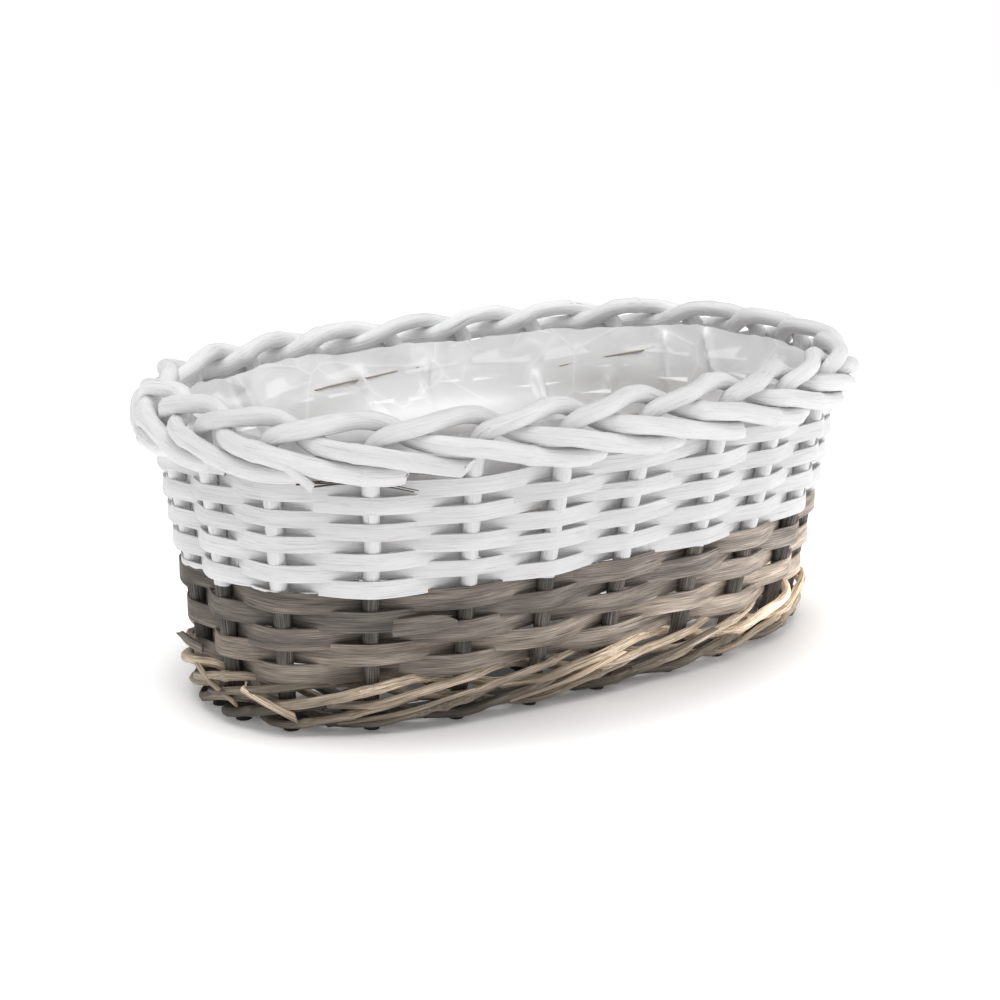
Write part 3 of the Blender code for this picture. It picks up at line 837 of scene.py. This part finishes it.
def makeFilmFinish():
    material, tree, shader = newMaterial("clearFilm")
    coordinates = addNode(tree, "ShaderNodeTexCoord")
    wander = addNode(tree, "ShaderNodeTexNoise", Scale=9.0, Detail=2.0)
    join(tree, coordinates, "Object", wander, "Vector")
    shifted = mixColours(tree, 0.015, (coordinates, "Object"), (wander, "Color"), "LINEAR_LIGHT")
    patches = ramp(tree, wander, "Fac", [(0.46, (0.0,)), (0.60, (1.0,))])
    lines = []
    for scale, width in film["nets"]:
        cells = addNode(tree, "ShaderNodeTexVoronoi", feature="DISTANCE_TO_EDGE", Scale=scale)
        join(tree, shifted, mixed, cells, "Vector")
        lines.append(ramp(tree, cells, "Distance", [(0.0, (1.0,)), (width, (0.22,)), (width * 3.5, (0.0,))]))
    coarse = maths(tree, "MULTIPLY", (lines[0], "Color"), film["netShares"][0])
    patchy = maths(tree, "MULTIPLY", (lines[1], "Color"), (patches, "Color"))
    fine = maths(tree, "MULTIPLY", (patchy, 0), film["netShares"][1])
    line = maths(tree, "MAXIMUM", (coarse, 0), (fine, 0))
    waves = addNode(tree, "ShaderNodeTexNoise", Scale=46.0, Detail=2.0)
    join(tree, coordinates, "Object", waves, "Vector")
    height = maths(tree, "ADD", (line, 0), (waves, "Fac"))
    bump = addNode(tree, "ShaderNodeBump", Strength=0.5, Distance=0.0012)
    join(tree, height, 0, bump, "Height")
    join(tree, bump, "Normal", shader, "Normal")
    haze = attributeOf(tree, "haze")
    share = maths(tree, "MULTIPLY", (haze, "Fac"), 0.7)
    marked = maths(tree, "MULTIPLY", (line, 0), (share, 0))
    both = maths(tree, "ADD", (haze, "Fac"), (marked, 0))
    join(tree, maths(tree, "MINIMUM", (both, 0), film["mostHaze"]), 0, shader, "Alpha")
    # whiter where milkier and creased: partly the film's own whitening, partly painted highlight on the folds
    # and creases
    milkyAndHighlit = ramp(tree, both, 0, [(0.66, (0.80, 0.795, 0.79)), (0.95, (0.95, 0.95, 0.955))])
    join(tree, milkyAndHighlit, "Color", shader, "Base Color")
    shader.inputs["Roughness"].default_value = 0.18
    shader.inputs["IOR"].default_value = 1.50
    return material


def filmHaze(height, inset):
    low, middle, high = film["haze"]
    flat, added = [np.interp(height, film["hazeHeights"], (low[i], middle[i], middle[i], high[i]))
                   for i in range(2)]
    return flat + added * min(1.0, inset / film["hazeInset"])


def makeLiner():
    bm = bmesh.new()
    bmesh.ops.create_circle(bm, segments=film["around"], radius=1.0)
    rings = film["wallRings"] + film["floorRings"]
    bmesh.ops.spin(bm, geom=bm.verts[:] + bm.edges[:], cent=(0, 0, 0), axis=(0, 0, 1),
                   dvec=(0, 0, 1), angle=0.0, steps=rings - 1, use_merge=False, use_duplicate=False)
    inner = [edge for edge in bm.edges if edge.is_boundary and edge.verts[0].co.z > rings - 1.5]
    bmesh.ops.holes_fill(bm, edges=inner, sides=0)
    haze = bm.verts.layers.float.new("haze")
    floorHeight, corner = film["floor"], film["corner"]
    largeFacet, smallFacet = film["wallFacets"]
    largeWrinkle, smallWrinkle = film["floorFacets"]
    flatHaze, addedHaze = film["floorHaze"]
    for vert in bm.verts:
        place = (math.atan2(vert.co.y, vert.co.x) / (2 * math.pi)) % 1.0 * stakeCount
        ring = vert.co.z
        if ring < film["wallRings"]:
            share = 1.0 - ring / (film["wallRings"] - 1)
            top = film["top"] + film["wave"] * wobble(place, 300, 0.9)
            top += film["ripple"] * wobble(place, 301, 5.0)
            height = floorHeight + corner + share * (top - floorHeight - corner)
            clear = min(1.0, max(0.0, (height - film["footEnd"]) / film["footEase"]))
            offset = film["footOffset"] + (film["wallOffset"] - film["footOffset"]) * clear
            at = wallPlace(place, 0.0, height)[0]
            rough = crumple(at * 17) * largeFacet + crumple(at * 44 + Vector((3, 1, 7))) * smallFacet
            fade = min(1.0, (height - floorHeight) / film["wallFade"])
            inset = (filmFolds(place, height) + filmPleats(place, height)) * fade
            vert.co = wallPlace(place, -(offset + inset + rough * fade), height)[0]
            vert[haze] = filmHaze(height, inset)
        else:
            inward = (ring - film["wallRings"] + 1) / film["floorRings"]
            edge, outward = wallPlace(place, -film["footOffset"], floorHeight)
            if ring == film["wallRings"]:
                vert.co = edge - outward * corner * 0.35 + Vector((0, 0, corner * 0.35))
            else:
                flat = edge - outward * corner
                vert.co = Vector((flat.x, flat.y, 0.0)) * (1.0 - inward * 0.985)
                wrinkle = crumple(Vector((vert.co.x * 19, vert.co.y * 19, 5.0))) * largeWrinkle
                wrinkle += crumple(Vector((vert.co.x * 52, vert.co.y * 52, 9.0))) * smallWrinkle
                vert.co.z = floorHeight + wrinkle * min(1.0, 6 * inward)
                vert[haze] = flatHaze + addedHaze * min(1.0, wrinkle / largeWrinkle)
    bmesh.ops.recalc_face_normals(bm, faces=bm.faces[:])
    liner = finishPiece("filmLiner", bm, makeFilmFinish(), "liner", 180)


makeLiner()
print("film liner made")

# long stitches of twine that hold the film to the wall
stitch = {
    "radius": 0.00055, "places": ((2.5, 4.0), (5.5, 7.5), (13.5, 15.0), (16.5, 18.5)),
    "tops": (0.1350, 0.1350, 0.1345, 0.1356), "falls": (0.0080, 0.0080, 0.0092, 0.0062),
    "offset": 0.0106, "endOffset": 0.004,  # an end goes through the film
}


def makeStitches():
    twine, tree, shader = newMaterial("paleTwine")
    mapping = addNode(tree, "ShaderNodeMapping", Scale=(900.0, 1500.0, 1500.0), Rotation=(0.0, 0.0, 0.7))
    strands = addNode(tree, "ShaderNodeTexWave", Scale=1.0, Distortion=2.0, Detail=2.0)
    join(tree, attributeOf(tree, "grain"), "Vector", mapping, "Vector")
    join(tree, mapping, "Vector", strands, "Vector")
    colour = ramp(tree, strands, "Fac", [(0.2, finishes["twine"][0]), (0.8, finishes["twine"][1])])
    join(tree, colour, "Color", shader, "Base Color")
    bump = addNode(tree, "ShaderNodeBump", Strength=0.6, Distance=0.0003)
    join(tree, strands, "Fac", bump, "Height")
    join(tree, bump, "Normal", shader, "Normal")
    shader.inputs["Roughness"].default_value = 0.85
    for number, (first, last) in enumerate(stitch["places"]):
        points = []
        for t in np.linspace(0.0, 1.0, 9):
            place = first + (last - first) * t
            height = stitch["tops"][number] - stitch["falls"][number] * t
            offset = stitch["offset"] + filmPleats(place, height) / 2
            if t in (0.0, 1.0):
                offset = stitch["endOffset"]
            points.append(wallPlace(place, -offset, height)[0])
        bm = bmesh.new()
        addRod(bm, points, 0.0015, (stitch["radius"], stitch["radius"]), number + 200.0, 8)
        finishPiece(f"twineStitch_{number + 1}", bm, twine, f"liner_stitch_{number + 1}")


makeStitches()
print("stitches made")

# floor, light and camera
stage = {
    "floor": 24.0, "world": 0.50, "sky": (1.0, 1.0, 1.0),
    # the floor's own glow, a painted light which rises from under the foot outwards and leaves a painted
    # contact shadow there, counted in sizes of the foot
    "glow": (0.05, 0.55), "glowReach": (0.82, 1.38), "foot": (0.170, 0.132),
    "glowColour": (1.0, 0.985, 0.985), "roughness": 0.9,
    "shade": ((0.45, (0.16, 0.155, 0.155)), (0.66, (0.93, 0.92, 0.92))),  # painted contact shadow: the floor darker under the foot
}
lamps = {
    "softKey": {"place": (0.70, -0.50, 0.28), "aim": (0.12, -0.05, 0.08), "size": 0.5, "power": 1.9},
    "softTop": {"place": (-0.35, -0.35, 1.7), "aim": (0.0, 0.0, 0.08), "size": 1.3, "power": 19.0},
}
view = {
    "azimuth": -0.583, "elevation": 0.272, "distance": 1.10407, "target": (-0.005684, -0.000092, 0.079635),
    "sensor": 36.0, "focal": 2123.93, "picture": 1000, "shift": 0.005, "farthest": 100.0,
}


def makeStage():
    bm = bmesh.new()
    bmesh.ops.create_grid(bm, x_segments=2, y_segments=2, size=stage["floor"])
    mesh = bpy.data.meshes.new("paleFloor")
    bm.to_mesh(mesh)
    bm.free()
    floor = bpy.data.objects.new("paleFloor", mesh)
    bpy.context.scene.collection.objects.link(floor)
    material, tree, shader = newMaterial("paleFloorFinish")
    shader.inputs["Roughness"].default_value = stage["roughness"]
    shader.inputs["Emission Color"].default_value = (*stage["glowColour"], 1.0)
    coordinates = addNode(tree, "ShaderNodeTexCoord")
    measured = addNode(tree, "ShaderNodeMapping", Scale=(1 / stage["foot"][0], 1 / stage["foot"][1], 1.0))
    join(tree, coordinates, "Object", measured, "Vector")
    away = addNode(tree, "ShaderNodeVectorMath", operation="LENGTH")
    join(tree, measured, "Vector", away, 0)
    # painted light and painted contact shadow: the floor glows away from the foot and is darker under it
    glow = mapRange(tree, away, "Value", stage["glowReach"], stage["glow"], "SMOOTHSTEP")
    join(tree, glow, "Result", shader, "Emission Strength")
    shade = ramp(tree, away, "Value", stage["shade"])
    join(tree, shade, "Color", shader, "Base Color")
    mesh.materials.append(material)
    world = bpy.data.worlds.new("studio")
    world.use_nodes = True
    background = world.node_tree.nodes["Background"]
    background.inputs["Color"].default_value = (*stage["sky"], 1.0)
    background.inputs["Strength"].default_value = stage["world"]
    bpy.context.scene.world = world
    bpy.context.scene.view_settings.view_transform = "Standard"


def makeLamps():
    for name, lit in lamps.items():
        lamp = bpy.data.lights.new(name, "AREA")
        lamp.shape, lamp.size, lamp.energy = "SQUARE", lit["size"], lit["power"]
        obj = bpy.data.objects.new(name, lamp)
        obj.location = lit["place"]
        obj.rotation_euler = (Vector(lit["aim"]) - Vector(lit["place"])).to_track_quat("-Z", "Y").to_euler()
        bpy.context.scene.collection.objects.link(obj)


def makeCamera():
    azimuth, elevation = view["azimuth"], view["elevation"]
    level = math.cos(elevation)
    back = Vector((math.sin(azimuth) * level, -math.cos(azimuth) * level, math.sin(elevation)))
    camera = bpy.data.cameras.new("camera")
    camera.sensor_width = view["sensor"]
    camera.lens = view["focal"] * view["sensor"] / view["picture"]
    camera.shift_y = view["shift"]
    camera.clip_end = view["farthest"]
    obj = bpy.data.objects.new("camera", camera)
    obj.location = Vector(view["target"]) + back * view["distance"]
    obj.rotation_euler = (-back).to_track_quat("-Z", "Y").to_euler()
    bpy.context.scene.collection.objects.link(obj)
    bpy.context.scene.camera = obj


makeStage()
makeLamps()
makeCamera()
print("stage made")
